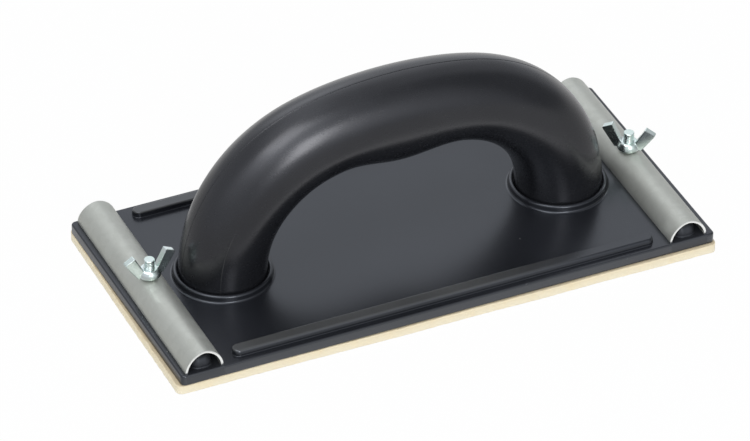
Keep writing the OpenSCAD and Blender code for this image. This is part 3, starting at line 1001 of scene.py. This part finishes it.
# what the gloss sees round the studio: middle, half width and soft edge in degrees, and how much it differs
skyPanels = (
    {"azimuth": 74, "wide": 28, "elevation": 25, "tall": 45, "soft": 26, "change": -0.36},
    {"azimuth": 170, "wide": 30, "elevation": 36, "tall": 20, "soft": 24, "change": 0.44},
    {"azimuth": 180, "wide": 14, "elevation": 31, "tall": 7, "soft": 14, "change": 0.95},
    {"azimuth": -150, "wide": 36, "elevation": 72, "tall": 20, "soft": 26, "change": 0.6},
    {"azimuth": 150, "wide": 24, "elevation": 3, "tall": 9, "soft": 16, "change": 0.42},
    {"azimuth": -40, "wide": 40, "elevation": 60, "tall": 20, "soft": 24, "change": 1.2},
    {"azimuth": -62, "wide": 30, "elevation": 46, "tall": 24, "soft": 30, "change": 0.42},
    {"azimuth": 0, "wide": 24, "elevation": 28, "tall": 18, "soft": 26, "change": 0.6},
)
# painted shade on the floor beside the left end, as reflections see it
nearPanels = (
    {"azimuth": -90, "wide": 27, "soft": 8, "change": -0.35},  # beside the left end
)
farPanels = (
    {"azimuth": 25, "wide": 38, "soft": 40, "change": 0.10},
    {"azimuth": 85, "wide": 28, "soft": 30, "change": -0.04},
    {"azimuth": 155, "wide": 50, "soft": 40, "change": 0.42},
)
softBoxes = {
    "softBoxHigh": {"azimuth": -68, "elevation": 64, "away": 2.0,
                    "wide": 0.95, "tall": 0.95, "radiance": 2.6},
    "softBoxFront": {"azimuth": -8, "elevation": 33, "away": 2.0,
                     "wide": 0.58, "tall": 0.85, "radiance": 6.5},
}


def aim(azimuth, elevation):
    # azimuth 0 stands in front of the long side, 90 at the right end
    a, e = math.radians(azimuth), math.radians(elevation)
    return Vector((math.sin(a) * math.cos(e), -math.cos(a) * math.cos(e), math.sin(e)))


def rayKinds(start):
    # camera rays see the white sweep, mirror and glass rays see the studio; the rest is lit by it
    seen = start.node("ShaderNodeLightPath", out="Is Camera Ray")
    mirrored = seen.out("Is Glossy Ray").math("MAXIMUM", seen.out("Is Transmission Ray"))
    return seen, mirrored * (1 - seen)


def near(angle, middle, wide, soft):
    # 1 inside a band of angles, easing to 0 over its soft edge
    off = abs((angle - math.radians(middle)).math("WRAP", math.pi, -math.pi))
    return 1 - off.ease(math.radians(wide - soft / 2), math.radians(wide + soft / 2))


def panelled(level, panels, azimuth, elevation=None):
    for panel in panels:
        inside = near(azimuth, panel["azimuth"], panel["wide"], panel["soft"])
        if elevation is not None:
            inside *= near(elevation, panel["elevation"], panel["tall"], panel["soft"])
        level = inside * panel["change"] + level
    return level


def makeFloor():
    look = stageLook
    half = look["floorHalf"]
    shape = bmesh.new()
    corners = ((-half, -half), (half, -half), (half, half), (-half, half))
    shape.faces.new([shape.verts.new((x, y, padLow.z - look["floorGap"])) for x, y in corners])
    material, start = newMaterial("whiteSweep")
    seen, mirrored = rayKinds(start)
    x, y = start.node("ShaderNodeTexCoord", out="Object").axes()[:2]
    azimuth = x.math("ARCTAN2", 0 - y)
    # for reflections the floor is a painted pool of light round the object, fading out past its ends and
    # sides, brighter and darker by direction further out
    reach = (abs(x) - padHigh.x).math("MAXIMUM", abs(y) - padHigh.y)
    close = 1 - reach.ease(look["nearReach"], look["farReach"])
    far = panelled(look["mirroredFar"], farPanels, azimuth)
    shine = far + (panelled(look["mirroredNear"], nearPanels, azimuth) - far) * close
    white = start.node("ShaderNodeEmission", None, {"Strength": seen + mirrored * shine})
    lit = start.node("ShaderNodeBsdfDiffuse", None, {"Color": look["floorColour"]})
    glow = seen * look["glow"] + mirrored
    blend = start.node("ShaderNodeMixShader", None, {0: glow, 1: lit, 2: white})
    start.node("ShaderNodeOutputMaterial", None, {"Surface": blend})
    fromBmesh("floor", shape, material)


def makeSky():
    look = skyLook
    world = bpy.data.worlds.new("studio")
    bpy.context.scene.world = world
    world.use_nodes = True
    world.node_tree.nodes.clear()
    start = Wire(world.node_tree)
    x, y, z = start.node("ShaderNodeTexCoord", out="Generated").axes()
    seen, mirrored = rayKinds(start)
    room = panelled(look["room"], skyPanels, x.math("ARCTAN2", 0 - y), z.math("ARCSINE"))
    strength = seen + mirrored * room + (1 - seen - mirrored) * look["ambient"]
    colour = seen.mix(look["tint"], look["backdrop"])
    light = start.node("ShaderNodeBackground", None, {"Color": colour, "Strength": strength})
    start.node("ShaderNodeOutputWorld", None, {"Surface": light})


def makeSoftBox(name, box):
    lamp = bpy.data.lights.new(name, "AREA")
    lamp.shape = "RECTANGLE"
    lamp.size, lamp.size_y = box["wide"], box["tall"]
    lamp.energy = box["radiance"] * math.pi * box["wide"] * box["tall"]
    stand = bpy.data.objects.new(name, lamp)
    bpy.context.scene.collection.objects.link(stand)
    back = aim(box["azimuth"], box["elevation"])
    stand.location = back * box["away"]
    stand.rotation_euler = (-back).to_track_quat("-Z", "Y").to_euler()


makeFloor()
makeSky()
for name, box in softBoxes.items():
    makeSoftBox(name, box)
print("stage made")


# the camera: a long lens, a little off level; its focal length is in pixels of the image

shot = {
    "azimuth": -25.35, "elevation": 36.68, "roll": 0.91, "away": 2645.69 * mm,
    "target": (-4.12 * mm, 7.05 * mm), "focal": 6630.87, "imageWide": 750,
    "sensor": 36.0, "clip": (0.05, 100),
}


def makeCamera():
    lens = bpy.data.cameras.new("camera")
    lens.sensor_width = shot["sensor"]
    lens.lens = shot["focal"] / shot["imageWide"] * shot["sensor"]
    lens.clip_start, lens.clip_end = shot["clip"]
    camera = bpy.data.objects.new("camera", lens)
    bpy.context.scene.collection.objects.link(camera)
    back = aim(shot["azimuth"], shot["elevation"])
    camera.location = Vector((*shot["target"], plateTop)) + back * shot["away"]
    roll = Euler((0, 0, math.radians(shot["roll"]))).to_quaternion()
    camera.rotation_euler = ((-back).to_track_quat("-Z", "Y") @ roll).to_euler()
    bpy.context.scene.camera = camera


makeCamera()
bpy.context.scene.view_settings.view_transform = "Standard"
print("camera set")
